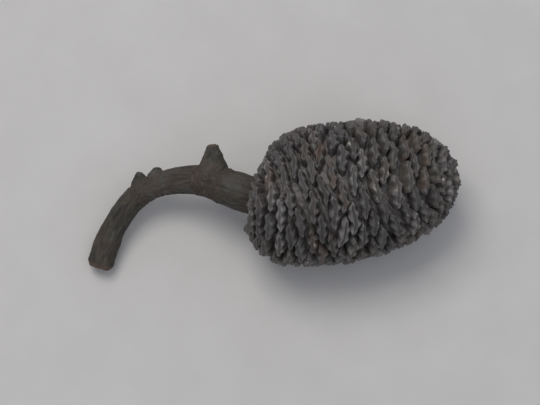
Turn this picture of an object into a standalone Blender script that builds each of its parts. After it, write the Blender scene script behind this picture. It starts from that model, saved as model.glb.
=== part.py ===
"""An alder cone lying on its side: a woody head of lobed scales on a short bent stalk.

Units are metres and +Z is up. The head's axis runs along +X, from the stalk to the tip, and the stalk bends
towards +Y and then -Y as it comes down to the surface. The origin is under the middle of the cone's box, at
the height of the surface that it lies on.
"""

import math
import random

import bmesh
import bpy
import numpy as np
from mathutils import Matrix, Vector

MM = 0.001

# The head's outline, measured from its widest section.
HEAD_RADIUS = 6.7 * MM
BASE_REACH = 8.9 * MM
TIP_REACH = 11.8 * MM
BASE_POWER = 3.0  # a blunt, barrel-like base
TIP_POWER = 2.1  # a rounder, egg-like tip

# The woody core that the scales grow from. Its power is the outline's on each side.
CORE_RADIUS = 4.75 * MM
CORE_BASE_REACH = 7.9 * MM
CORE_TIP_REACH = 9.9 * MM
CORE_SIDES = 20
CORE_RINGS = 12

# Where the head lies: its widest section, just low enough for the lowest scales to have flat feet.
FOOT_DEPTH = 0.25 * MM
HEAD_AT = Vector((6.0 * MM, -0.18 * MM, HEAD_RADIUS - FOOT_DEPTH))

# The scales, in the spiral order in which they grow.
SCALES = 250
GOLDEN_ANGLE = math.radians(137.50776)
FIRST_SHARE = 0.020  # of the way over the head's surface, from its base to its tip
LAST_SHARE = 0.996
BASE_SIZE = 0.86  # of the scales at the head's two ends, against those in its middle
TIP_SIZE = 0.66
FIRST_FOOT = -5.6 * MM  # where the first and the last scale start on the head's axis
LAST_FOOT = 6.2 * MM
SCALE_WIDTH = 2.90 * MM
SCALE_THICKNESS = 0.86 * MM
SCALE_GAP = 0.18 * MM
CLEAR_BESIDE = 0.30  # of a scale's thickness: a neighbour farther along than this may overlap its end
ROOT_AT = 0.52  # of the way from the axis to the rim, well inside the core
RIM_BACK = 0.16 * MM  # the rim's edge lies this far behind its middle's place
RIM_DOME = 0.10 * MM  # and its middle stands out by this much
SIZE_JITTER = 0.05
TILT_JITTER = math.radians(3.0)
SEED = 11

# A scale's rim seen end on, in half widths and half thicknesses. Two lobes face the cone's tip, a broader
# one faces its base, and one stands out at each side.
RIM_OUTLINE = (
    (1.00, 0.00), (0.46, 1.00), (0.00, 0.80), (-0.46, 1.00),
    (-1.00, 0.00), (-0.38, -1.00), (0.38, -1.00),
)
ROOT_SHARE = (0.45, 0.70)  # of the rim's half width and half thickness

# The head's shoulder at +Y, beside the stalk, draws back towards the tip by this much at the most.
LEAN = 2.8 * MM
LEAN_FROM = -1.5 * MM  # sideways, from the head's axis
LEAN_POWER = 1.5

# The stalk's centre line from its cut end to its end inside the head, in millimetres: along the head's
# axis from the base of the head's outline, sideways from that axis, height above the surface, and radius.
STALK_ROUTE = (
    (-13.94, -2.55, 1.10, 1.30),
    (-12.95, -0.55, 1.58, 1.20),
    (-11.75, 1.15, 2.10, 1.12),
    (-10.35, 2.60, 2.65, 1.12),
    (-8.90, 3.50, 3.15, 1.13),
    (-7.40, 3.88, 3.70, 1.10),
    (-6.10, 3.95, 4.20, 1.15),
    (-4.85, 3.80, 4.70, 1.25),
    (-3.50, 3.50, 5.15, 1.40),
    (-2.03, 2.95, 5.60, 1.55),
    (-0.86, 2.20, 6.00, 1.70),
    (0.35, 1.48, 6.28, 1.74),
    (1.60, 0.72, 6.42, 1.60),
    (2.90, -0.10, 6.45, 1.35),
)
STALK_BEVEL = 3  # the tube's bevel resolution
STALK_STEPS = 3  # between two knots of the route
STALK_CLEARANCE = 0.30 * MM  # between the stalk and the hole that it stands in
STALK_BARE = 0.95 * MM  # a scale whose middle would come nearer the stalk's surface is left out
OUTER_PART = (0.75, 0.875, 1.0)  # places along a scale, from foot to rim, where that is measured
STUB_SIDES = 8

# Stubs on the stalk: knot of the route, direction, distances from the centre line of its foot and its tip,
# and its radius at each.
STUBS = (
    (9, (0.47, 3.45, 0.60), 0.40 * MM, 3.50 * MM, 1.46 * MM, 0.50 * MM),  # a side stalk, broken off
    (4, (0.05, 1.00, 0.05), 0.20 * MM, 2.20 * MM, 0.80 * MM, 0.22 * MM),  # what is left of two bracts
    (5, (0.20, 1.00, 0.05), 0.20 * MM, 1.80 * MM, 0.80 * MM, 0.36 * MM),
)

FLOOR_CUTTER_SIZE = 60 * MM
WELD_ON_AXIS = 0.01 * MM  # the core's points that meet at its two ends
WELD_IN_TUBE = 0.001 * MM
SHARP_FROM = math.radians(35)  # an edge that turns by more than this stays sharp
BARK = ("stalk_bark", (0.075, 0.066, 0.052), 0.72)
WOOD = ("scale_wood", (0.050, 0.042, 0.037), 0.68)


def new_material(name, colour, roughness):
    """A plain Principled BSDF of that colour and roughness."""
    material = bpy.data.materials.new(name)
    material.use_nodes = True
    shader = material.node_tree.nodes["Principled BSDF"]
    shader.inputs["Base Color"].default_value = (*colour, 1.0)
    shader.inputs["Roughness"].default_value = roughness
    shader.inputs["Metallic"].default_value = 0.0
    return material


def new_object(name, mesh, collection):
    """An object of that mesh, in that collection."""
    obj = bpy.data.objects.new(name, mesh)
    collection.objects.link(obj)
    return obj


def head_frame():
    """Turns the head's own frame, whose +Z runs to its tip and +X to the surface, into the part's."""
    return Matrix.Translation(HEAD_AT) @ Matrix.Rotation(math.pi / 2, 4, "Y")


def outline_point(turn, radius, base_reach, tip_reach):
    """(along, out) on a superellipse, from its base end at turn 0 to its tip at turn 1."""
    towards_base = turn < 0.5
    reach = -base_reach if towards_base else tip_reach
    power = BASE_POWER if towards_base else TIP_POWER
    angle = math.pi * turn
    along = reach * abs(math.cos(angle)) ** (2 / power)
    return along, radius * max(0.0, math.sin(angle)) ** (2 / power)


def lean(point):
    """Moves a point of the upright head as its shoulder draws back."""
    sideways = max(0.0, point.y - LEAN_FROM) / HEAD_RADIUS
    towards_base = max(0.0, -point.z) / BASE_REACH
    return point + Vector((0.0, 0.0, LEAN * sideways * towards_base**LEAN_POWER))


def size_at(along):
    """How large a scale is at that place along the head, against those in the middle."""
    reach, end_size = (BASE_REACH, BASE_SIZE) if along < 0 else (TIP_REACH, TIP_SIZE)
    return 1 - (1 - end_size) * min(1.0, abs(along) / reach) ** 3


def evenly_crowded(count, steps=600):
    """The outline's points for that many scales, as (along, out, distance along the outline) each.

    Each scale has an equal share of the head's surface, but a smaller scale takes less of it.
    """
    points = np.array(
        [outline_point(k / steps, HEAD_RADIUS, BASE_REACH, TIP_REACH) for k in range(steps + 1)]
    )
    pieces = np.linalg.norm(np.diff(points, axis=0), axis=1)
    middles = (points[1:] + points[:-1]) / 2
    size = np.array([size_at(along) for along in middles[:, 0]])
    room = np.concatenate([[0.0], np.cumsum(pieces * middles[:, 1] / size**2)])
    length = np.concatenate([[0.0], np.cumsum(pieces)])
    wanted = np.linspace(FIRST_SHARE, LAST_SHARE, count) * room[-1]
    columns = [np.interp(wanted, room, values) for values in (points[:, 0], points[:, 1], length)]
    return list(zip(*[column.tolist() for column in columns]))


def free_width(index, places, wanted):
    """That width, or the widest rim that stays clear of the neighbours beside it in the spiral."""
    along, out, met = places[index]
    clear = SCALE_THICKNESS * size_at(along) * CLEAR_BESIDE + SCALE_GAP
    for other, (_, other_out, other_met) in enumerate(places):
        if other == index or abs(other_met - met) > clear:
            continue
        turn = (other - index) * GOLDEN_ANGLE
        turn = abs((turn + math.pi) % (2 * math.pi) - math.pi)
        wanted = min(wanted, turn * (out + other_out) / 2 - SCALE_GAP)
    return wanted


def stalk_points(grow=0.0):
    """The stalk's route in the part's frame, as (point, radius)."""
    start = Vector((HEAD_AT.x - BASE_REACH, HEAD_AT.y, 0.0))
    return [(start + Vector((x, y, z)) * MM, radius * MM + grow) for x, y, z, radius in STALK_ROUTE]


def distance_to_stalk(point):
    """How far a point is from the stalk's surface."""
    route = stalk_points()
    nearest = []
    for (start, first_radius), (end, last_radius) in zip(route, route[1:]):
        run = end - start
        share = min(1.0, max(0.0, (point - start).dot(run) / run.length_squared))
        radius = first_radius + share * (last_radius - first_radius)
        nearest.append((point - start - share * run).length - radius)
    return min(nearest)


def loft(sections):
    """A closed mesh through rings of equally many points, with a flat start and a domed end."""
    mesh = bpy.data.meshes.new("scale")
    form = bmesh.new()
    rings = [[form.verts.new(point) for point in section] for section in sections]
    count = len(rings[0])
    for near, far in zip(rings, rings[1:]):
        for k in range(count):
            form.faces.new((near[k], near[(k + 1) % count], far[(k + 1) % count], far[k]))
    form.faces.new(rings[0])
    top = form.verts.new((RIM_DOME, 0.0, 0.0))
    for k in range(count):
        form.faces.new((rings[-1][k], rings[-1][(k + 1) % count], top))
    bmesh.ops.recalc_face_normals(form, faces=form.faces)
    form.to_mesh(mesh)
    form.free()
    return mesh


def scale_mesh(length, width, thickness):
    """One scale, its rim's middle at the origin, growing along +X, with +Z towards the cone's tip."""
    stations = ((-length, ROOT_SHARE), (-RIM_BACK, (1.0, 1.0)))
    sections = []
    for back, (across, through) in stations:
        half_width, half_thickness = width / 2 * across, thickness / 2 * through
        sections.append([(back, y * half_width, z * half_thickness) for y, z in RIM_OUTLINE])
    return loft(sections)


def grow_scales(collection):
    """The scales, turned by the golden angle from each one to the next."""
    draw = random.Random(SEED)
    frame = head_frame()
    places = evenly_crowded(SCALES)
    for k, (along, out, _) in enumerate(places):
        jitter = 1 + draw.uniform(-SIZE_JITTER, SIZE_JITTER)
        tilt = draw.uniform(-TILT_JITTER, TILT_JITTER)
        outward = Matrix.Rotation(k * GOLDEN_ANGLE, 3, "Z") @ Vector((1.0, 0.0, 0.0))
        foot = Vector((0.0, 0.0, FIRST_FOOT + (LAST_FOOT - FIRST_FOOT) * k / (SCALES - 1)))
        rim = lean(outward * out + Vector((0.0, 0.0, along)))
        outer = [foot.lerp(rim, share) for share in OUTER_PART]
        if min(distance_to_stalk(frame @ point) for point in outer) < STALK_BARE:
            continue
        grows = (rim - foot).normalized()
        across = Vector((0.0, 0.0, 1.0)).cross(outward)
        place = Matrix((grows, across, grows.cross(across))).transposed().to_4x4()
        size = size_at(along)
        width = free_width(k, places, SCALE_WIDTH * size * jitter)
        length = (rim - foot).length * (1 - ROOT_AT)
        scale = new_object(f"scale_{k:03d}", scale_mesh(length, width, SCALE_THICKNESS * size), collection)
        scale.matrix_world = frame @ Matrix.Translation(rim) @ place @ Matrix.Rotation(tilt, 4, "X")


def core_object(collection):
    """The head's core, turned about its axis."""
    mesh = bpy.data.meshes.new("head")
    profile = [
        outline_point(1 - k / CORE_RINGS, CORE_RADIUS, CORE_BASE_REACH, CORE_TIP_REACH)
        for k in range(CORE_RINGS + 1)
    ]
    edges = [(k, k + 1) for k in range(CORE_RINGS)]
    mesh.from_pydata([(out, 0.0, along) for along, out in profile], edges, [])
    core = new_object("head", mesh, collection)
    core.matrix_world = head_frame()
    turning = core.modifiers.new("turning", "SCREW")
    turning.axis = "Z"
    turning.steps = turning.render_steps = CORE_SIDES
    turning.use_merge_vertices = True
    turning.merge_threshold = WELD_ON_AXIS
    return core


def stalk_object(name, collection, grow=0.0):
    """The stalk as a tube of changing radius, made a closed mesh."""
    curve = bpy.data.curves.new(name, "CURVE")
    curve.dimensions = "3D"
    curve.bevel_depth = 1.0
    curve.bevel_resolution = STALK_BEVEL
    curve.resolution_u = STALK_STEPS
    curve.use_fill_caps = True
    route = stalk_points(grow)
    ahead = (route[-1][0] - route[-2][0]).normalized() * grow
    route[-1] = (route[-1][0] + ahead, route[-1][1])
    spline = curve.splines.new("BEZIER")
    spline.bezier_points.add(len(route) - 1)
    for knot, (point, radius) in zip(spline.bezier_points, route):
        knot.co = point
        knot.radius = radius
        knot.handle_left_type = knot.handle_right_type = "AUTO"
    tube = new_object(name + "_tube", curve, collection)
    bpy.context.view_layer.update()
    mesh = bpy.data.meshes.new_from_object(tube.evaluated_get(bpy.context.evaluated_depsgraph_get()))
    form = bmesh.new()
    form.from_mesh(mesh)
    bmesh.ops.remove_doubles(form, verts=form.verts, dist=WELD_IN_TUBE)
    form.to_mesh(mesh)
    form.free()
    bpy.data.objects.remove(tube)
    return new_object(name, mesh, collection)


def grow_stubs(collection):
    """The stubs on the stalk, as cones that start near its centre line."""
    route = stalk_points()
    for number, (knot, direction, foot, tip, wide, narrow) in enumerate(STUBS):
        way = Vector(direction).normalized()
        mesh = bpy.data.meshes.new("stub")
        form = bmesh.new()
        bmesh.ops.create_cone(
            form, cap_ends=True, segments=STUB_SIDES, radius1=wide, radius2=narrow, depth=tip - foot
        )
        form.to_mesh(mesh)
        form.free()
        stub = new_object(f"stub_{number}", mesh, collection)
        turn = way.to_track_quat("Z", "Y").to_matrix().to_4x4()
        stub.matrix_world = Matrix.Translation(route[knot][0] + way * (foot + tip) / 2) @ turn


def apply_modifiers(obj):
    """Replaces the object's mesh by what its modifiers make of it."""
    bpy.context.view_layer.update()
    graph = bpy.context.evaluated_depsgraph_get()
    mesh = bpy.data.meshes.new_from_object(obj.evaluated_get(graph))
    obj.modifiers.clear()
    obj.data = mesh


def unite(obj, pieces):
    """Joins a collection's objects to this one by one Boolean union, and removes them."""
    union = obj.modifiers.new("union", "BOOLEAN")
    union.operation = "UNION"
    union.operand_type = "COLLECTION"
    union.collection = pieces
    union.solver = "EXACT"
    apply_modifiers(obj)
    for piece in list(pieces.objects):
        bpy.data.objects.remove(piece)
    bpy.data.collections.remove(pieces)


def cut(obj, cutter):
    """Cuts the cutter's shape from the object, and leaves the cutter as a hidden guide."""
    difference = obj.modifiers.new("cut", "BOOLEAN")
    difference.operation = "DIFFERENCE"
    difference.object = cutter
    difference.solver = "EXACT"
    cutter.hide_render = True
    cutter.display_type = "WIRE"


def floor_cutter(collection):
    """A block whose top is the surface that the cone lies on."""
    mesh = bpy.data.meshes.new("floor_cutter")
    form = bmesh.new()
    bmesh.ops.create_cube(form, size=FLOOR_CUTTER_SIZE)
    form.to_mesh(mesh)
    form.free()
    block = new_object("floor_cutter", mesh, collection)
    block.location.z = -FLOOR_CUTTER_SIZE / 2
    return block


def drop_specks(obj):
    """Keeps the largest of the object's closed surfaces, not the specks that crossing scales leave."""
    form = bmesh.new()
    form.from_mesh(obj.data)
    surfaces = []
    for first in form.faces:
        if first.tag:
            continue
        first.tag = True
        surface = [first]
        for face in surface:
            for beside in (near for edge in face.edges for near in edge.link_faces if not near.tag):
                beside.tag = True
                surface.append(beside)
        surfaces.append(surface)
    surfaces.sort(key=len)
    for surface in surfaces[:-1]:
        bmesh.ops.delete(form, geom=surface, context="FACES")
    form.to_mesh(obj.data)
    form.free()


def shade(obj, material):
    """Gives the object its material and a smooth look with sharp edges."""
    obj.data.materials.clear()
    obj.data.materials.append(material)
    obj.data.shade_smooth()
    obj.data.set_sharp_from_angle(angle=SHARP_FROM)


def main():
    for obj in list(bpy.data.objects):
        bpy.data.objects.remove(obj)
    scene = bpy.context.scene.collection
    parts = bpy.data.collections.new("alder_cone")
    cutters = bpy.data.collections.new("cutters")
    scales = bpy.data.collections.new("scales")
    stubs = bpy.data.collections.new("stubs")
    for collection in (parts, cutters, scales, stubs):
        scene.children.link(collection)

    floor = floor_cutter(cutters)

    head = core_object(parts)
    apply_modifiers(head)
    for vertex in head.data.vertices:
        vertex.co = lean(vertex.co)
    grow_scales(scales)
    unite(head, scales)
    cut(head, stalk_object("stalk_hole", cutters, STALK_CLEARANCE))
    cut(head, floor)
    apply_modifiers(head)
    drop_specks(head)
    shade(head, new_material(*WOOD))

    stalk = stalk_object("stalk", parts)
    grow_stubs(stubs)
    unite(stalk, stubs)
    cut(stalk, floor)
    apply_modifiers(stalk)
    shade(stalk, new_material(*BARK))


main()
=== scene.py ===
"""The looks of an alder cone lying on its side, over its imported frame.

The head's scales follow the same spiral as the frame's, each one remade with its lobed, creased rim. The
stalk follows the frame's stalk, with bark, stubs and a cut end. Lengths are in metres, except where a
comment says that they are in millimetres.
"""

import math
import random

import bpy
import numpy as np
from mathutils import Matrix, Vector, noise


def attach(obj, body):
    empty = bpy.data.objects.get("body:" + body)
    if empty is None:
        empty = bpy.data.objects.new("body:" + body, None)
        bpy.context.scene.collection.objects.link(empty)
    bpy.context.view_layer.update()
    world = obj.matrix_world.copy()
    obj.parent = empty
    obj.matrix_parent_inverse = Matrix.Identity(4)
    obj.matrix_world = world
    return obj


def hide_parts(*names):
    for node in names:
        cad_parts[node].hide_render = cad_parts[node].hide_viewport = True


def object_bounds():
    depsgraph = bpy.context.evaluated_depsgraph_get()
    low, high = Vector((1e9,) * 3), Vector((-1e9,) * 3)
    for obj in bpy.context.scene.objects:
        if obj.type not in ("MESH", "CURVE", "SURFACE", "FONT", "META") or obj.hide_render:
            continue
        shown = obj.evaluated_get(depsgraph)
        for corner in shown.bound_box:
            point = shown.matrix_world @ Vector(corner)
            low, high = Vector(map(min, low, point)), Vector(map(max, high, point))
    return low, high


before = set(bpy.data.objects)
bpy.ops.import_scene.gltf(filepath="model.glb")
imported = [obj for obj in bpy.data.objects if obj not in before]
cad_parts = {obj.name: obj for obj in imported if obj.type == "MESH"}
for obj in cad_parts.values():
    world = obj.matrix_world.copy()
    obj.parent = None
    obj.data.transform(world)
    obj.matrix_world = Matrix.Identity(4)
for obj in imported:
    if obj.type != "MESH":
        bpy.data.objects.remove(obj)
CAD_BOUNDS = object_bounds()

MM = 0.001

# The head's outline, measured from its widest section, as in the frame's own rule.
HEAD_RADIUS = 6.7 * MM
BASE_REACH = 8.9 * MM
TIP_REACH = 11.8 * MM
BASE_POWER = 3.0
TIP_POWER = 2.1
HEAD_AT = Vector((6.0, -0.18, 6.45)) * MM

# The head's shoulder at +Y, beside the stalk, draws back towards the tip.
LEAN = 2.8 * MM  # at the base, one head's radius sideways from where that starts
LEAN_FROM = -1.5 * MM
LEAN_POWER = 1.5  # how fast it grows towards the base

# The core, seen only as the dark bottom of the gaps between the scales.
CORE_RADIUS = 5.45 * MM
CORE_BASE_REACH = 7.8 * MM
CORE_TIP_REACH = 10.6 * MM
CORE_SIDES = 240
CORE_RINGS = 150
CORE_TONE = 0.4
CORE_RELIEF = ((1.3, 0.020), (2.6, 0.022), (5.5, 0.012))  # waves to a millimetre, share of the radius

# The spiral of scales.
SCALES = 250
TIP_SCALES = 1  # more of them, on the tip itself
GOLDEN_ANGLE = math.radians(137.50776)
FIRST_SHARE = 0.020  # of the way over the head's surface, from its base to its tip
LAST_SHARE = 0.996
BASE_SIZE = 0.86  # of the scales at the head's two ends, against those in its middle
TIP_SIZE = 0.66
FIRST_FOOT = -5.6 * MM  # where on the head's axis the first scale starts from, and the last
LAST_FOOT = 6.2 * MM
SCALE_WIDTH = 3.10 * MM
SCALE_THICKNESS = 0.86 * MM  # in the frame: the rims here are RIM_THICKNESS
SCALE_GAP = 0.18 * MM
CLEAR_BESIDE = 0.30  # of the thickness: past the gap, how near along the head rims are side by side
ROOT_AT = 0.52  # share of the way from a scale's foot to its rim
STALK_BARE = 0.60 * MM  # no scale's outer part comes nearer than this to the stalk
OUTER_PART = (0.75, 0.875, 1.0)  # places where that is measured, as shares of the way to the rim
SEED = 11

# The pieces that the scales go into, each with its first scale and the one after its last.
PIECES = (("scales_base", 0, 84), ("scales_middle", 84, 167), ("scales_tip", 167, SCALES + TIP_SCALES))

# One scale's size and stance. Each scale draws its own from these ranges.
RIM_THICKNESS = 0.98 * MM
WIDTH_RANGE = (0.86, 1.04)
THICKNESS_RANGE = (0.78, 1.02)
THICKEST = 0.36  # of the scale's width
LEAST_ROUND = 2.5  # millimetres, of the radius that a rim is bent to round the head
SUNK_UP_TO = 0.24  # millimetres
ASIDE_UP_TO = 0.10  # millimetres
ROLL = -2.5  # degrees, that the rims lean along the spiral
ROLL_JITTER = 5.5
NOD_JITTER = 2.0

# From here to the end of the stalk's route and stubs, distances are in millimetres. Places on a scale run
# from -1 to 1: across it, and through it from the base's side to the tip's.

# One scale's mesh: a grid over its end, and rings back to its root.
END_ACROSS = 24
END_THROUGH = 10
RINGS_BACK = (0.06, 0.15, 0.28, 0.45, 0.70, 1.05, 1.60)
LIP_AT = 0.24  # the rim is thickest this far behind its end
LIP_START = 0.86  # share of its thickness that it has at its end
BLADE_FROM = 1.60
BLADE_THICKNESS = 0.94  # of the rim's
BLADE_WIDTH = 0.97
ROOT_WIDTH = 0.50

# The rim's outline, seen end on.
BLUNT_END = 0.40  # share of the rim's thickness that is left at its two sides
LENS_SQUARENESS = 3.2  # the two powers that shape it between them
LENS_FULLNESS = 0.65
SIDE_ROUNDING = 0.30
FACE_ROUNDING = 0.22
END_ROUNDING = 0.22
BEND_UP_TO = 0.16  # towards the base or the tip, all over the rim
WAVE_UP_TO = 0.13  # one half towards the base and the other towards the tip
CRESCENT = 0.16  # both sides towards the base
CRESCENT_RANGE = (0.3, 1.5)

# The rim's lobes: waves across the scale, in how thick the rim is and in how far it reaches.
LOBE_REACH = 0.10
LOBE_DEPTH = 0.24  # of the rim's half thickness
LOBES_BACK = 0.9  # how far behind the end they still reach out
LOBES_ASIDE = 0.06
LOBING_RANGE = (0.5, 1.4)
UPPER_LOBES = (0.38, 0.62)  # place of the first, and how far apart they are
LOWER_LOBES_APART = 0.92

# The crease between the scale's two lips.
CREASE_AT = -0.04
CREASE_STRAYS = 0.12
CREASE_FOLLOWS = 0.07  # how far it swings with the lobes
CREASE_DEPTH = 0.24
CREASE_RANGE = (0.6, 1.2)
CREASE_WIDTH = 0.26
CREASE_SHADE = 0.40  # share of the rim's value that is lost in it

# Pale, rubbed spots on some rims.
FLECKED = 0.12  # share of the scales that have one
FLECKS_ACROSS = 0.6
FLECKS_THROUGH = (-0.65, 0.6)
FLECK_SIZE = (0.17, 0.40)

# The fine relief on the scales, as waves to a millimetre and heights: of the ridges, the waves along the
# scale and across it, and of the two sizes of grain, the heights along, across and through it.
RIDGES = ((0.45, 4.2), 0.045)
GRAIN = (2.3, (0.060, 0.045, 0.050))
FINE_GRAIN = (6.5, (0.030, 0.020, 0.022))

# The stalk's centre line from its cut end to its end inside the head: along the head's axis from the base
# of the head's outline, sideways from that axis, height above the surface, and radius.
STALK_ROUTE = (
    (-13.94, -2.55, 1.10, 1.30),
    (-12.95, -0.55, 1.58, 1.20),
    (-11.75, 1.15, 2.10, 1.12),
    (-10.35, 2.60, 2.65, 1.12),
    (-8.90, 3.50, 3.15, 1.13),
    (-7.40, 3.88, 3.70, 1.10),
    (-6.10, 3.95, 4.20, 1.15),
    (-4.85, 3.80, 4.70, 1.25),
    (-3.50, 3.50, 5.15, 1.40),
    (-2.03, 2.95, 5.60, 1.55),
    (-0.86, 2.20, 6.00, 1.70),
    (0.35, 1.48, 6.28, 1.74),
    (1.60, 0.72, 6.42, 1.60),
    (2.90, -0.10, 6.45, 1.35),
)
# The side stalk and the two bract stubs: the knot of the route that each starts from, its direction, how
# far along that it starts and ends, and its radii on the way.
STUBS = (
    (9, (0.47, 3.45, 0.60), 0.10, 3.50, (1.70, 1.60, 1.45, 1.20, 0.92, 0.70, 0.48)),
    (4, (0.05, 1.00, 0.05), 0.20, 2.05, (1.05, 1.00, 0.85, 0.56, 0.22)),
    (5, (0.20, 1.00, 0.05), 0.20, 1.72, (1.05, 1.00, 0.88, 0.66, 0.36)),
)
KNOTS_APART = 1.9 * MM  # about as far as one knot of the route is from the next
STALK_SIDES = 40
STALK_STEPS = 20  # from each knot to the next
STUB_SIDES = 24
STUB_STEPS = 24
STALK_VOXEL = 0.075 * MM
STALK_SMOOTHING = 6
END_NARROWING = 0.30  # of the radius, at the cut end's very edge
END_ROUNDED = 0.70 * MM
SEAM_BLEND = (-0.45, 0.25)  # where a stub's bark takes over from the stalk's, in radii
SEAM_SPREAD = 6  # the more, the wider a seam

# Where the bark is off: the number of the line, the index of its end, and how deep behind it that goes.
BARE_ENDS = ((0, 0, 0.60 * MM), (1, -1, 0.22 * MM))
BARE_WITHIN = 2.0 * MM  # of the middle of such an end
BARE_FACING = (0.05, 0.45)  # how squarely a face looks along the line, where no wood is bare and all is
BARE_WAY = 4  # points of the line, over which its direction is taken

# The bark's relief: heights in millimetres, and waves to a millimetre along the stalk and across it.
WRINKLES = (0.070, 0.42, 2.6)
BARK_RIDGES = (0.050, 0.50, 4.2)
PITS = (0.032, 2.6, 3.2)
FINE_BARK = (0.016, 5.5, 8.0)
SWELLS = (0.05, 0.55)
FIBRES = ((0.11, 4.0), (0.05, 10.0))  # of the bare wood and the seams, alike in every direction

BUMP = 0.03 * MM  # height of the finest relief, which is in the materials of the head and the stalk

# Where the camera stands: the photograph looks down at the cone, which points right and a little up.
VIEW_AZIMUTH = -9.0  # degrees, as the next one
VIEW_ELEVATION = 78.0
VIEW_DISTANCE = 165 * MM
OBJECT_SHARE = 0.72  # of the picture's width
SENSOR_WIDTH = 36.0  # millimetres
FLOOR_HALF = 0.6


def new_object(name, data):
    """An object of that mesh, light or camera, in the scene."""
    obj = bpy.data.objects.new(name, data)
    bpy.context.scene.collection.objects.link(obj)
    return obj


def head_frame():
    """Turns the head's own frame, whose +Z runs to its tip, into the part's."""
    return Matrix.Translation(HEAD_AT) @ Matrix.Rotation(math.pi / 2, 4, "Y")


def outline_point(turn, radius, base_reach, tip_reach):
    """(along, out) on a superellipse, from its base end at turn 0 to its tip at turn 1."""
    towards_base = turn < 0.5
    reach = -base_reach if towards_base else tip_reach
    power = BASE_POWER if towards_base else TIP_POWER
    angle = math.pi * turn
    along = reach * abs(math.cos(angle)) ** (2 / power)
    return along, radius * max(0.0, math.sin(angle)) ** (2 / power)


def lean(point):
    """Moves a point of the upright head as its shoulder draws back."""
    sideways = max(0.0, point.y - LEAN_FROM) / HEAD_RADIUS
    towards_base = max(0.0, -point.z) / BASE_REACH
    return point + Vector((0.0, 0.0, LEAN * sideways * towards_base**LEAN_POWER))


def size_at(along):
    """How large a scale is at that place along the head, against those in the middle."""
    reach, end_size = (BASE_REACH, BASE_SIZE) if along < 0 else (TIP_REACH, TIP_SIZE)
    return 1 - (1 - end_size) * min(1.0, abs(along) / reach) ** 3


def evenly_crowded(steps=600):
    """The scales' places on the outline, each as (along, out, distance along the outline)."""
    points = np.array(
        [outline_point(k / steps, HEAD_RADIUS, BASE_REACH, TIP_REACH) for k in range(steps + 1)]
    )
    pieces = np.linalg.norm(np.diff(points, axis=0), axis=1)
    middles = (points[1:] + points[:-1]) / 2
    size = np.array([size_at(along) for along in middles[:, 0]])
    room = np.concatenate([[0.0], np.cumsum(pieces * middles[:, 1] / size**2)])
    length = np.concatenate([[0.0], np.cumsum(pieces)])
    share = FIRST_SHARE + (LAST_SHARE - FIRST_SHARE) * np.arange(SCALES + TIP_SCALES) / (SCALES - 1)
    wanted = np.minimum(share, 1.0) * room[-1]
    columns = [np.interp(wanted, room, values) for values in (points[:, 0], points[:, 1], length)]
    return list(zip(*[column.tolist() for column in columns]))


def free_width(index, places, wanted):
    """That width, or the widest rim that stays clear of the neighbours beside it in the spiral."""
    along, out, met = places[index]
    clear = SCALE_THICKNESS * size_at(along) * CLEAR_BESIDE + SCALE_GAP
    for other, (_, other_out, other_met) in enumerate(places):
        if other == index or abs(other_met - met) > clear:
            continue
        turn = (other - index) * GOLDEN_ANGLE
        turn = abs((turn + math.pi) % (2 * math.pi) - math.pi)
        wanted = min(wanted, turn * (out + other_out) / 2 - SCALE_GAP)
    return wanted


def stalk_points():
    """The stalk's route in the part's frame, as (point, radius)."""
    start = Vector((HEAD_AT.x - BASE_REACH, HEAD_AT.y, 0.0))
    return [(start + Vector((x, y, z)) * MM, radius * MM) for x, y, z, radius in STALK_ROUTE]


def distance_to_stalk(point):
    """How far a point is from the stalk's surface."""
    route = stalk_points()
    nearest = []
    for (start, first_radius), (end, last_radius) in zip(route, route[1:]):
        run = end - start
        share = min(1.0, max(0.0, (point - start).dot(run) / run.length_squared))
        radius = first_radius + share * (last_radius - first_radius)
        nearest.append((point - start - share * run).length - radius)
    return min(nearest)


def scale_topology():
    """One scale's places and faces.

    The places are arrays across and through the scale, each from -1 to 1, and back from its end in
    millimetres, where the last ring's is infinite.
    """
    columns, rows = END_ACROSS + 1, END_THROUGH + 1
    p, q = np.meshgrid(np.linspace(-1, 1, columns), np.linspace(-1, 1, rows), indexing="ij")
    grid = np.arange(columns * rows).reshape(columns, rows)
    faces = [
        (grid[i, j], grid[i + 1, j], grid[i + 1, j + 1], grid[i, j + 1])
        for i in range(END_ACROSS)
        for j in range(END_THROUGH)
    ]
    around = [*grid[:, 0], *grid[-1, 1:], *grid[-2::-1, -1], *grid[0, -2:0:-1]]
    p, q = p.ravel(), q.ravel()
    ring_p, ring_q = p[around], q[around]
    back = np.zeros(len(p))
    before = around
    for distance in (*RINGS_BACK, np.inf):
        ring = list(range(len(p), len(p) + len(around)))
        p, q = np.concatenate([p, ring_p]), np.concatenate([q, ring_q])
        back = np.concatenate([back, np.full(len(around), distance)])
        for k in range(len(around)):
            after = (k + 1) % len(around)
            faces.append((before[after], before[k], ring[k], ring[after]))
        before = ring
    centre = len(p)
    p, q, back = np.append(p, 0.0), np.append(q, 0.0), np.append(back, np.inf)
    root = [(before[(k + 1) % len(before)], before[k], centre) for k in range(len(before))]
    return p, q, back, faces + root


def smooth_step(low, high, value):
    """0 below low, 1 above high, and a smooth rise between them."""
    share = np.clip((value - low) / (high - low), 0.0, 1.0)
    return share * share * (3 - 2 * share)


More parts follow.
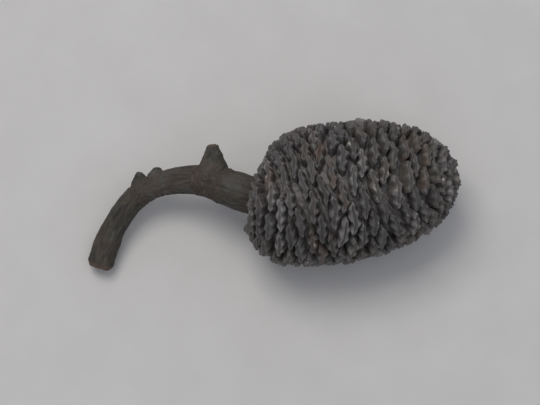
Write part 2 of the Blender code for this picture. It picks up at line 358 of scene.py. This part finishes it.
def scale_form(p, q, back, length, width, thickness, round_radius, draw):
    """One scale's points in millimetres, growing along +X to the origin, and its rim, wear and fleck.

    p and q are the points' places across and through the scale, and back is how far behind its end they
    are. The rim is 1 at the end and 0 on the blade.
    """
    back = np.minimum(back, length)
    behind = smooth_step(0.0, LIP_AT, back)
    to_blade = smooth_step(LIP_AT, BLADE_FROM, back)
    swell = (LIP_START + (1 - LIP_START) * behind) * (1 - (1 - BLADE_THICKNESS) * to_blade)
    to_root = np.clip((back - BLADE_FROM) / max(length - BLADE_FROM, 0.1), 0.0, 1.0)
    spread = 1 - (1 - BLADE_WIDTH) * smooth_step(0.1, BLADE_FROM, back)
    spread = spread + (ROOT_WIDTH - BLADE_WIDTH) * to_root

    shift = draw.uniform(-LOBES_ASIDE, LOBES_ASIDE)
    lobing = draw.uniform(*LOBING_RANGE) * (1 - to_blade)
    first, apart = UPPER_LOBES
    above = np.cos(2 * math.pi * (np.abs(p + shift) - first) / apart)
    below = np.cos(2 * math.pi * (p + shift) / LOWER_LOBES_APART)
    upper = np.clip((1 + q) / 2, 0.0, 1.0)
    lobe = upper * above + (1 - upper) * below

    lens = np.clip(1 - np.abs(p) ** LENS_SQUARENESS, 0.0, 1.0) ** LENS_FULLNESS
    lens = BLUNT_END + (1 - BLUNT_END) * lens
    half = thickness / 2 * lens * swell * (1 + LOBE_DEPTH * lobing * lobe)
    y = width / 2 * p * spread * np.sqrt(1 - SIDE_ROUNDING * q * q)
    z = half * q * np.sqrt(1 - FACE_ROUNDING * p * p)

    rim = 1 - smooth_step(0.0, BLADE_FROM, back)
    crease_at = CREASE_AT + draw.uniform(-CREASE_STRAYS, CREASE_STRAYS) + CREASE_FOLLOWS * lobe * lobing
    crease = np.exp(-(((q - crease_at) / CREASE_WIDTH) ** 2)) * np.clip(1 - p**4, 0.0, 1.0)
    crease = crease * (back == 0)
    x = -back
    x = x - rim * y * y / (2 * round_radius)
    x = x + LOBE_REACH * lobing * lobe * (1 - smooth_step(0.0, LOBES_BACK, back))
    x = x - END_ROUNDING * (np.abs(q) ** 3 + 0.6 * np.abs(p) ** 6) * rim
    x = x - CREASE_DEPTH * crease * draw.uniform(*CREASE_RANGE)

    bend = draw.uniform(-BEND_UP_TO, BEND_UP_TO)
    crescent = CRESCENT * draw.uniform(*CRESCENT_RANGE)
    wave = draw.uniform(-WAVE_UP_TO, WAVE_UP_TO)
    z = z + (bend + wave * np.sin(math.pi * p)) * rim - crescent * (y / (width / 2)) ** 2 * rim
    wear = np.clip(0.6 + 0.4 * lobe, 0.0, 1.0) * rim * (1 - crease)

    across, through = draw.uniform(-FLECKS_ACROSS, FLECKS_ACROSS), draw.choice(FLECKS_THROUGH)
    fleck = np.exp(-(((p - across) / FLECK_SIZE[0]) ** 2) - ((q - through) / FLECK_SIZE[1]) ** 2) * rim
    fleck = fleck * (draw.random() < FLECKED)
    rim = rim * (1 - CREASE_SHADE * crease)
    return np.stack([x, y, z], 1), rim, wear, fleck


def roughen(points, offset):
    """Moves a scale's points by fine relief: ridges along it, and two sizes of grain."""
    (along, over), ridge_height = RIDGES
    (coarse, grain_heights), (small, fine_heights) = GRAIN, FINE_GRAIN
    ridges, grains, fines = [], [], []
    for x, y, z in points:
        ridges.append(noise.noise((y * over + offset, x * along, offset)))
        grains.append(noise.noise_vector((x * coarse + offset, y * coarse, z * coarse)))
        fines.append(noise.noise_vector((x * small, y * small + offset, z * small)))
    moved = points + np.array(grains) * grain_heights + np.array(fines) * fine_heights
    moved[:, 2] += ridge_height * np.array(ridges) * np.where(points[:, 2] > 0, 1, -1)
    return moved


def grow_scales():
    """Every scale, and the faces that each of them has.

    A scale is (its index, its points in the part's frame, the values at them, their places in the grain).
    """
    draw = random.Random(SEED)
    noise.seed_set(SEED)  # or else noise_vector differs from run to run
    frame_matrix = head_frame()
    places = evenly_crowded()
    p, q, back, faces = scale_topology()
    grown = []
    for k, (along, out, _) in enumerate(places):
        outward = Matrix.Rotation(k * GOLDEN_ANGLE, 3, "Z") @ Vector((1.0, 0.0, 0.0))
        foot = Vector((0.0, 0.0, FIRST_FOOT + (LAST_FOOT - FIRST_FOOT) * k / (SCALES - 1)))
        rim_at = lean(outward * out + Vector((0.0, 0.0, along)))
        outer = [foot.lerp(rim_at, share) for share in OUTER_PART]
        if min(distance_to_stalk(frame_matrix @ point) for point in outer) < STALK_BARE:
            continue
        grows = (rim_at - foot).normalized()
        across = Vector((0.0, 0.0, 1.0)).cross(outward)
        place = Matrix((grows, across, grows.cross(across))).transposed().to_4x4()
        size = size_at(along)
        width = free_width(k, places, SCALE_WIDTH * size) * draw.uniform(*WIDTH_RANGE)
        thickness = min(RIM_THICKNESS * size, THICKEST * width) * draw.uniform(*THICKNESS_RANGE)
        length = (rim_at - foot).length * (1 - ROOT_AT)
        points, rim, wear, fleck = scale_form(
            p, q, back, length / MM, width / MM, thickness / MM, max(out / MM, LEAST_ROUND), draw
        )
        offset = draw.uniform(0.0, 100.0)
        points = roughen(points, offset)
        roll = Matrix.Rotation(math.radians(draw.gauss(ROLL, ROLL_JITTER)), 4, "X")
        nod = Matrix.Rotation(math.radians(draw.gauss(0.0, NOD_JITTER)), 4, "Y")
        matrix = np.array(frame_matrix @ Matrix.Translation(rim_at) @ place @ roll @ nod)
        aside = [draw.uniform(-ASIDE_UP_TO, ASIDE_UP_TO) * size for _ in "yz"]
        shifted = points + (-draw.uniform(0.0, SUNK_UP_TO), *aside)
        world = shifted * MM @ matrix[:3, :3].T + matrix[:3, 3]
        values = {"rim": rim, "wear": wear, "fleck": fleck, "tone": np.full(len(p), draw.random())}
        grown.append((k, world, values, points + offset))
    return grown, faces


def write_mesh(name, points, faces, floats=None, vectors=None):
    """A smooth mesh of those points and faces, with attributes on its points."""
    mesh = bpy.data.meshes.new(name)
    mesh.from_pydata(points, [], faces)
    mesh.update()
    for key, values in (floats or {}).items():
        mesh.attributes.new(key, "FLOAT", "POINT").data.foreach_set("value", np.float32(values))
    for key, values in (vectors or {}).items():
        layer = mesh.attributes.new(key, "FLOAT_VECTOR", "POINT")
        layer.data.foreach_set("vector", np.float32(values).ravel())
    mesh.shade_smooth()
    return mesh


def settle(points):
    """Presses what would go under the surface flat onto it."""
    points = np.array(points)
    points[:, 2] = np.maximum(points[:, 2], 0.0)
    return points


def scale_pieces(material):
    """The scales, in three meshes from the head's base to its tip."""
    grown, faces = grow_scales()
    made = []
    for name, first, last in PIECES:
        group = [scale for scale in grown if first <= scale[0] < last]
        all_faces = []
        for number, (_, world, _, _) in enumerate(group):
            start = number * len(world)
            all_faces += [tuple(int(v) + start for v in face) for face in faces]
        points = settle(np.concatenate([scale[1] for scale in group]))
        floats = {key: np.concatenate([scale[2][key] for scale in group]) for key in group[0][2]}
        vectors = {"grain": np.concatenate([scale[3] for scale in group]), "spot": points / MM}
        mesh = write_mesh(name, points.tolist(), all_faces, floats, vectors)
        mesh.materials.append(material)
        made.append(new_object(name, mesh))
    return made


def core_piece(material):
    """The head's core, which shows deep between the scales."""
    frame_matrix = head_frame()
    points, faces = [], []
    for ring in range(CORE_RINGS + 1):
        turn = (ring + 0.001) / (CORE_RINGS + 0.002)
        along, out = outline_point(turn, CORE_RADIUS, CORE_BASE_REACH, CORE_TIP_REACH)
        for side in range(CORE_SIDES):
            angle = 2 * math.pi * side / CORE_SIDES
            place = Vector((out * math.cos(angle), out * math.sin(angle), along))
            uneven = sum(share * noise.noise(place / MM * waves) for waves, share in CORE_RELIEF)
            points.append(frame_matrix @ lean(place * (1 + uneven)))
    for ring in range(CORE_RINGS):
        for side in range(CORE_SIDES):
            beside = (side + 1) % CORE_SIDES
            low, high = ring * CORE_SIDES, (ring + 1) * CORE_SIDES
            faces.append((low + side, low + beside, high + beside, high + side))
    faces.append(tuple(range(CORE_SIDES - 1, -1, -1)))
    faces.append(tuple(range(CORE_RINGS * CORE_SIDES, (CORE_RINGS + 1) * CORE_SIDES)))
    spots = np.array([list(point) for point in points]) / MM
    floats = {key: np.zeros(len(points)) for key in ("rim", "wear", "fleck")}
    floats["tone"] = np.full(len(points), CORE_TONE)
    vectors = {"grain": spots, "spot": spots}
    mesh = write_mesh("core", [tuple(point) for point in points], faces, floats, vectors)
    mesh.materials.append(material)
    return new_object("head_core", mesh)


def smooth_route(steps):
    """The stalk's centre line as arrays of points and radii, by Catmull-Rom between its knots."""
    knots = np.array([[*point, radius] for point, radius in stalk_points()])
    padded = np.vstack([2 * knots[0] - knots[1], knots, 2 * knots[-1] - knots[-2]])
    line = []
    for k in range(len(knots) - 1):
        a, b, c, d = padded[k : k + 4]
        slope, curve, twist = c - a, 2 * a - 5 * b + 4 * c - d, 3 * b - a - 3 * c + d
        for step in range(steps):
            t = step / steps
            line.append(0.5 * (2 * b + slope * t + curve * t**2 + twist * t**3))
    line.append(knots[-1])
    line = np.array(line)
    return line[:, :3], line[:, 3]


def carried_frames(centres):
    """Two directions across a line at each of its centres, which turn as little as they can."""
    ways = np.gradient(centres, axis=0)
    ways /= np.linalg.norm(ways, axis=1)[:, None]
    side = np.cross(ways[0], [0.0, 0.0, 1.0])
    sides = []
    for way in ways:
        side = side - way * side.dot(way)
        side = side / np.linalg.norm(side)
        sides.append(side)
    sides = np.array(sides)
    return sides, np.cross(ways, sides)


def sweep(centres, radii, count):
    """A closed tube's points and faces round a line of centres."""
    sides, ups = carried_frames(centres)
    angles = 2 * math.pi * np.arange(count) / count
    cosines, sines = np.cos(angles)[None, :, None], np.sin(angles)[None, :, None]
    around = cosines * sides[:, None] + sines * ups[:, None]
    points = centres[:, None] + radii[:, None, None] * around
    faces = []
    for ring in range(len(centres) - 1):
        for k in range(count):
            beside = (k + 1) % count
            low, high = ring * count, (ring + 1) * count
            faces.append((low + beside, low + k, high + k, high + beside))
    last = (len(centres) - 1) * count
    faces.append(tuple(range(count)))
    faces.append(tuple(range(last + count - 1, last - 1, -1)))
    return points.reshape(-1, 3).tolist(), faces


def stalk_blank():
    """The stalk and its stubs as closed tubes that overlap, and the lines that they follow."""
    centres, radii = smooth_route(STALK_STEPS)
    met = np.linalg.norm(centres - centres[0], axis=1)
    radii = radii * (1 - END_NARROWING * (1 - smooth_step(0.0, END_ROUNDED, met)) ** 2)
    points, faces = sweep(centres, radii, STALK_SIDES)
    lines = [(centres, radii)]
    route = stalk_points()
    for knot, direction, foot, tip, profile in STUBS:
        way = np.array(Vector(direction).normalized())
        start = np.array(route[knot][0])
        stations = np.linspace(foot, tip, STUB_STEPS + 1)
        stub_radii = np.interp(stations, np.linspace(foot, tip, len(profile)), profile) * MM
        stub_centres = start + np.outer(stations * MM, way)
        more, more_faces = sweep(stub_centres, stub_radii, STUB_SIDES)
        faces += [tuple(v + len(points) for v in face) for face in more_faces]
        points += more
        lines.append((stub_centres, stub_radii))
    return points, faces, lines


def remeshed(points, faces, voxel, smoothing):
    """The union of closed shells as one even mesh: its points, normals and faces."""
    mesh = bpy.data.meshes.new("blank")
    mesh.from_pydata([tuple(point) for point in points], [], faces)
    blank = new_object("blank", mesh)
    remesh = blank.modifiers.new("remesh", "REMESH")
    remesh.mode = "VOXEL"
    remesh.voxel_size = voxel
    smooth = blank.modifiers.new("smooth", "SMOOTH")
    smooth.factor = 0.5
    smooth.iterations = smoothing
    bpy.context.view_layer.update()
    graph = bpy.context.evaluated_depsgraph_get()
    made = bpy.data.meshes.new_from_object(blank.evaluated_get(graph))
    bpy.data.objects.remove(blank)
    flat = np.empty(len(made.vertices) * 3)
    made.vertices.foreach_get("co", flat)
    normals = np.array([list(vertex.normal) for vertex in made.vertices])
    polygons = [tuple(polygon.vertices) for polygon in made.polygons]
    return flat.reshape(-1, 3), normals, polygons


def along_line(points, centres, radii, at_once=4000):
    """How far each point is from a line, in its radii, and its places along the line and across it."""
    met = np.concatenate([[0.0], np.cumsum(np.linalg.norm(np.diff(centres, axis=0), axis=1))])
    sides, ups = carried_frames(centres)
    gaps, places = [], []
    for start in range(0, len(points), at_once):
        part = points[start : start + at_once]
        gap = np.linalg.norm(part[:, None] - centres[None], axis=2) / radii[None]
        near = gap.argmin(1)
        away = part - centres[near]
        gaps.append(gap[np.arange(len(part)), near])
        across, up = (away * sides[near]).sum(1), (away * ups[near]).sum(1)
        places.append(np.stack([met[near], across, up], 1))
    return np.concatenate(gaps), np.concatenate(places)


def bark_grain(points, lines):
    """Each point's place in the bark in millimetres, and 1 at the seams between stalk and stubs."""
    gap, place = along_line(points, *lines[0])
    seam = np.zeros(len(points))
    for (centres, radii), (knot, *_) in zip(lines[1:], STUBS):
        stub_gap, stub_place = along_line(points, centres, radii)
        stub_place[:, 0] += knot * KNOTS_APART
        share = smooth_step(*SEAM_BLEND, gap - stub_gap)
        place = place * (1 - share[:, None]) + stub_place * share[:, None]
        seam = np.maximum(seam, np.minimum(1.0, SEAM_SPREAD * share * (1 - share)))
        gap = np.minimum(gap, stub_gap)
    return place / MM, seam


def bare_wood(points, normals, lines):
    """1 where the bark is off, at the stalk's cut end and the side stalk's broken one, or 0."""
    bare = np.zeros(len(points))
    for number, tip, deep in BARE_ENDS:
        centres = lines[number][0]
        way = centres[tip] - centres[BARE_WAY if tip == 0 else -BARE_WAY]
        way = way / np.linalg.norm(way)
        past = (points - centres[tip]) @ way
        near = np.linalg.norm(points - centres[tip], axis=1) < BARE_WITHIN
        faces_out = smooth_step(*BARE_FACING, normals @ way)
        bare = np.maximum(bare, smooth_step(-deep, -deep / 3, past) * faces_out * near)
    return bare


def bark_layer(place, height, along, across, offset=0.0):
    """One layer of the bark's relief in millimetres. The offset picks another part of the noise."""
    return height * noise.noise((place[0] * along + offset, place[1] * across, place[2] * across))


def bark_height(place):
    """How far the bark stands out at a place in it, in millimetres."""
    ridges = BARK_RIDGES[0] / 2 - 2 * abs(bark_layer(place, *BARK_RIDGES, offset=9.0))
    swells = SWELLS[0] * noise.noise((place[0] * SWELLS[1], 4.0, 1.0))
    return ridges + swells + sum(bark_layer(place, *layer) for layer in (WRINKLES, PITS, FINE_BARK))


def stalk_piece(material):
    """The stalk, its bark wrinkled lengthways and its cut end fibrous."""
    blank_points, blank_faces, lines = stalk_blank()
    points, normals, faces = remeshed(blank_points, blank_faces, STALK_VOXEL, STALK_SMOOTHING)
    bare = bare_wood(points, normals, lines)
    grain, seam = bark_grain(points, lines)
    moved = points.copy()
    for k, place in enumerate(grain):
        spot = Vector(points[k] / MM)
        fibres = sum(height * noise.noise(spot * waves) for height, waves in FIBRES)
        rough = max(bare[k], seam[k])
        moved[k] += normals[k] * MM * (bark_height(place) * (1 - rough) + fibres * rough)
    floats, vectors = {"cut": bare, "seam": seam}, {"grain": grain, "spot": points / MM}
    mesh = write_mesh("stalk", settle(moved).tolist(), faces, floats, vectors)
    mesh.materials.append(material)
    return new_object("stalk_bark", mesh)


class Nodes:
    """Adds and links shader nodes in one material."""

    def __init__(self, name):
        self.material = bpy.data.materials.new(name)
        self.material.use_nodes = True
        self.tree = self.material.node_tree
        self.shader = self.tree.nodes["Principled BSDF"]

    def add(self, kind, values=None, **settings):
        """A node with those settings and socket values; a value that is a socket is linked."""
        node = self.tree.nodes.new(kind)
        for key, value in settings.items():
            setattr(node, key, value)
        for key, value in (values or {}).items():
            self.put(value, node.inputs[key])
        return node

    def put(self, value, socket):
        """Links the value to the socket if it is a socket, or sets it."""
        if isinstance(value, bpy.types.NodeSocket):
            self.tree.links.new(value, socket)
        else:
            socket.default_value = value

    def attribute(self, name, output="Fac"):
        """A mesh attribute's value."""
        return self.add("ShaderNodeAttribute", attribute_name=name).outputs[output]

    def noise(self, vector, scale, detail, roughness=0.55, stretch=(1.0, 1.0, 1.0)):
        """Noise over the vector, which is first stretched by those factors."""
        mapped = self.add("ShaderNodeMapping", {"Vector": vector, "Scale": stretch}).outputs["Vector"]
        values = {"Vector": mapped, "Scale": scale, "Detail": detail, "Roughness": roughness}
        return self.add("ShaderNodeTexNoise", values).outputs["Fac"]

    def ramp(self, value, low, high, start=0.0, end=1.0):
        """The value moved from low..high to start..end, held at both ends."""
        values = {"Value": value, "From Min": low, "From Max": high, "To Min": start, "To Max": end}
        return self.add("ShaderNodeMapRange", values, clamp=True).outputs["Result"]

    def math(self, operation, first, second=0.0):
        """One sum, product or other operation of two values, or of the first alone."""
        node = self.add("ShaderNodeMath", {0: first, 1: second}, operation=operation)
        return node.outputs["Value"]

    def blend(self, factor, first, second):
        """From the first value to the second by the factor. The mix node has them at 2 and 3."""
        return self.add("ShaderNodeMix", {0: factor, 2: first, 3: second}).outputs[0]

    def mix(self, factor, first, second):
        """From the first colour to the second by the factor. The mix node has them at 6 and 7."""
        node = self.add("ShaderNodeMix", data_type="RGBA")
        for value, socket in ((factor, 0), (first, 6), (second, 7)):
            self.put(value, node.inputs[socket])
        return node.outputs[2]

    def bump(self, heights, distance):
        """A bump of those (height, strength) layers, one over the other."""
        normal = None
        for height, strength in heights:
            values = {"Height": height, "Strength": strength, "Distance": distance}
            node = self.add("ShaderNodeBump", values)
            if normal is not None:
                self.put(normal, node.inputs["Normal"])
            normal = node.outputs["Normal"]
        self.put(normal, self.shader.inputs["Normal"])


def scale_material():
    """Dry dark scales: charcoal brown with paler worn lobes, and a few ashen or reddish ones.

    The tone is one number for each scale, and the hue another, worked out from it.
    """
    made = Nodes("scale_wood")
    grain = made.attribute("grain", "Vector")
    rim = made.attribute("rim")
    wear = made.attribute("wear")
    tone = made.attribute("tone")
    hue = made.math("FRACT", made.math("MULTIPLY", tone, 7.31))
    patches = made.noise(grain, 0.7, 3.0)
    specks = made.noise(grain, 5.0, 5.0, 0.65)
    fibres = made.noise(grain, 3.0, 4.0, 0.6, (0.35, 3.0, 1.0))
    broad = made.noise(made.attribute("spot", "Vector"), 0.24, 2.0)

    # Painted fill light: the gaps' colours are paler than the rims', to lift the shade deep between the
    # scales.
    lifted_gap_dark = (0.105, 0.094, 0.087, 1.0)
    lifted_gap_pale = (0.168, 0.155, 0.144, 1.0)
    dark = (0.063, 0.056, 0.052, 1.0)
    brown = (0.085, 0.069, 0.059, 1.0)
    grey = (0.101, 0.096, 0.093, 1.0)
    ashen = (0.230, 0.215, 0.206, 1.0)
    worn = (0.300, 0.282, 0.265, 1.0)
    rust = (0.120, 0.070, 0.050, 1.0)
    pale = (0.360, 0.320, 0.270, 1.0)
    earthy = (0.088, 0.077, 0.058, 1.0)
    cool = (0.074, 0.072, 0.073, 1.0)

    colour = made.mix(made.ramp(patches, 0.38, 0.66), dark, brown)
    colour = made.mix(made.ramp(fibres, 0.40, 0.68, 0.0, 0.6), colour, grey)
    colour = made.mix(made.ramp(tone, 0.55, 1.0, 0.0, 0.62), colour, grey)
    colour = made.mix(made.ramp(broad, 0.50, 0.62, 0.0, 0.60), colour, earthy)
    colour = made.mix(made.ramp(broad, 0.48, 0.38, 0.0, 0.55), colour, cool)
    rusty = made.ramp(tone, 0.16, 0.0, 0.0, 0.7)
    rusty = made.math("MULTIPLY", rusty, made.ramp(patches, 0.42, 0.6))
    colour = made.mix(rusty, colour, rust)
    rubbed = made.math("MULTIPLY", made.ramp(wear, 0.30, 0.85), made.ramp(specks, 0.40, 0.62))
    rubbed = made.math("MULTIPLY", rubbed, made.ramp(hue, 0.50, 0.95, 0.22, 0.95))
    colour = made.mix(rubbed, colour, worn)
    ashy = made.ramp(hue, 0.78, 0.94, 0.0, 0.72)
    ashy = made.math("MULTIPLY", ashy, made.ramp(wear, 0.15, 0.75, 0.3, 1.0))
    colour = made.mix(ashy, colour, ashen)
    colour = made.mix(made.ramp(made.attribute("fleck"), 0.35, 0.80), colour, pale)
    # The blades' backs and the core, deep in the gaps, take this paler colour as painted fill light over
    # their shade.
    deep = made.mix(made.ramp(specks, 0.38, 0.62), lifted_gap_dark, lifted_gap_pale)
    colour = made.mix(made.ramp(rim, 0.0, 0.75, 1.0, 0.0), colour, deep)
    made.put(colour, made.shader.inputs["Base Color"])
    made.put(made.ramp(specks, 0.3, 0.7, 0.38, 0.62), made.shader.inputs["Roughness"])
    made.put(0.55, made.shader.inputs["Specular IOR Level"])
    made.bump([(fibres, 0.45), (specks, 0.55)], BUMP)
    return made.material


def bark_material():
    """The stalk's olive-brown bark, with redder seams and tan scuffs, and bare wood where it is cut."""
    made = Nodes("stalk_bark")
    grain = made.attribute("grain", "Vector")
    cut = made.attribute("cut")
    seam = made.attribute("seam")
    spot = made.attribute("spot", "Vector")
    patches = made.noise(grain, 0.55, 3.0)
    strands = made.noise(grain, 2.2, 5.0, 0.6, (0.30, 1.6, 1.6))
    strands = made.blend(seam, strands, made.noise(spot, 3.0, 5.0, 0.6))
    specks = made.noise(grain, 6.0, 4.0, 0.6)
    fibres = made.noise(grain, 5.0, 4.0, 0.6, (0.2, 2.0, 2.0))
    broad = made.noise(spot, 0.45, 2.0)

    olive = (0.070, 0.062, 0.047, 1.0)
    dark = (0.030, 0.026, 0.022, 1.0)
    tan = (0.190, 0.146, 0.100, 1.0)
    grey = (0.108, 0.101, 0.090, 1.0)
    wood = (0.165, 0.112, 0.084, 1.0)
    pith = (0.085, 0.056, 0.043, 1.0)
    brown = (0.088, 0.056, 0.041, 1.0)

    colour = made.mix(made.ramp(strands, 0.36, 0.62), dark, olive)
    colour = made.mix(made.ramp(patches, 0.50, 0.72, 0.0, 0.6), colour, grey)
    reddish = made.ramp(broad, 0.50, 0.62, 0.0, 0.3)
    reddish = made.math("MAXIMUM", reddish, made.ramp(seam, 0.0, 0.9, 0.0, 0.35))
    colour = made.mix(reddish, colour, brown)
    scuffs = made.math("MULTIPLY", made.ramp(patches, 0.40, 0.28), made.ramp(strands, 0.42, 0.60))
    colour = made.mix(made.math("MULTIPLY", scuffs, 0.8), colour, tan)
    bare = made.mix(made.ramp(fibres, 0.35, 0.65), pith, wood)
    colour = made.mix(cut, colour, bare)
    made.put(colour, made.shader.inputs["Base Color"])
    made.put(made.ramp(specks, 0.3, 0.7, 0.58, 0.82), made.shader.inputs["Roughness"])
    made.put(0.35, made.shader.inputs["Specular IOR Level"])
    made.bump([(strands, 0.5), (specks, 0.5)], BUMP)
    return made.material


def floor_material():
    """A plain pale floor with a trace of unevenness."""
    made = Nodes("floor_pale")
    place = made.add("ShaderNodeTexCoord").outputs["Object"]
    mottle = made.ramp(made.noise(place, 160.0, 3.0), 0.3, 0.7)
    colour = made.mix(mottle, (0.668, 0.649, 0.618, 1.0), (0.708, 0.689, 0.658, 1.0))
    made.put(colour, made.shader.inputs["Base Color"])
    made.put(0.85, made.shader.inputs["Roughness"])
    made.bump([(made.noise(place, 2500.0, 2.0), 0.15)], 0.05 * MM)
    return made.material


def add_light(name, place, size, power, colour):
    """A square area light that faces the cone."""
    light = bpy.data.lights.new(name, "AREA")
    light.shape = "SQUARE"
    light.size = size
    light.energy = power
    light.color = colour
    obj = new_object(name, light)
    obj.location = place
    obj.rotation_mode = "QUATERNION"
    obj.rotation_quaternion = (-Vector(place)).to_track_quat("-Z", "Y")


def add_stage():
    """The floor, the soft lights and the pale surroundings."""
    mesh = bpy.data.meshes.new("floor")
    corners = [(x * FLOOR_HALF, y * FLOOR_HALF, 0.0) for x, y in ((-1, -1), (1, -1), (1, 1), (-1, 1))]
    mesh.from_pydata(corners, [], [(0, 1, 2, 3)])
    mesh.materials.append(floor_material())
    new_object("floor", mesh)

    scene = bpy.context.scene
    scene.view_settings.view_transform = "Standard"
    scene.view_settings.look = "None"
    world = bpy.data.worlds.new("surroundings")
    world.use_nodes = True
    background = world.node_tree.nodes["Background"]
    background.inputs["Color"].default_value = (0.84, 0.88, 1.0, 1.0)
    background.inputs["Strength"].default_value = 0.38
    scene.world = world
    add_light("window", (-0.06, 0.12, 0.32), size=0.16, power=0.42, colour=(1.0, 0.97, 0.93))
    add_light("ceiling", (0.06, -0.04, 0.36), size=0.30, power=0.12, colour=(0.95, 0.97, 1.0))


def add_camera(centre):
    """A camera that looks at the cone from the photograph's angle and distance."""
    azimuth, elevation = math.radians(VIEW_AZIMUTH), math.radians(VIEW_ELEVATION)
    level = math.cos(elevation)
    back = Vector((math.sin(azimuth) * level, -math.cos(azimuth) * level, math.sin(elevation)))
    data = bpy.data.cameras.new("camera")
    data.sensor_width = SENSOR_WIDTH
    length = CAD_BOUNDS[1].x - CAD_BOUNDS[0].x
    data.lens = SENSOR_WIDTH * VIEW_DISTANCE * OBJECT_SHARE / length
    data.clip_start, data.clip_end = 0.01, 5.0
    camera = new_object("camera", data)
    camera.location = centre + back * VIEW_DISTANCE
    camera.rotation_mode = "QUATERNION"
    camera.rotation_quaternion = (-back).to_track_quat("-Z", "Y")
    bpy.context.scene.camera = camera


add_camera((CAD_BOUNDS[0] + CAD_BOUNDS[1]) / 2)
add_stage()

wood = scale_material()
for piece in [*scale_pieces(wood), core_piece(wood)]:
    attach(piece, "root")
    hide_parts("head")

stalk = stalk_piece(bark_material())
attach(stalk, "root")
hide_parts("stalk")
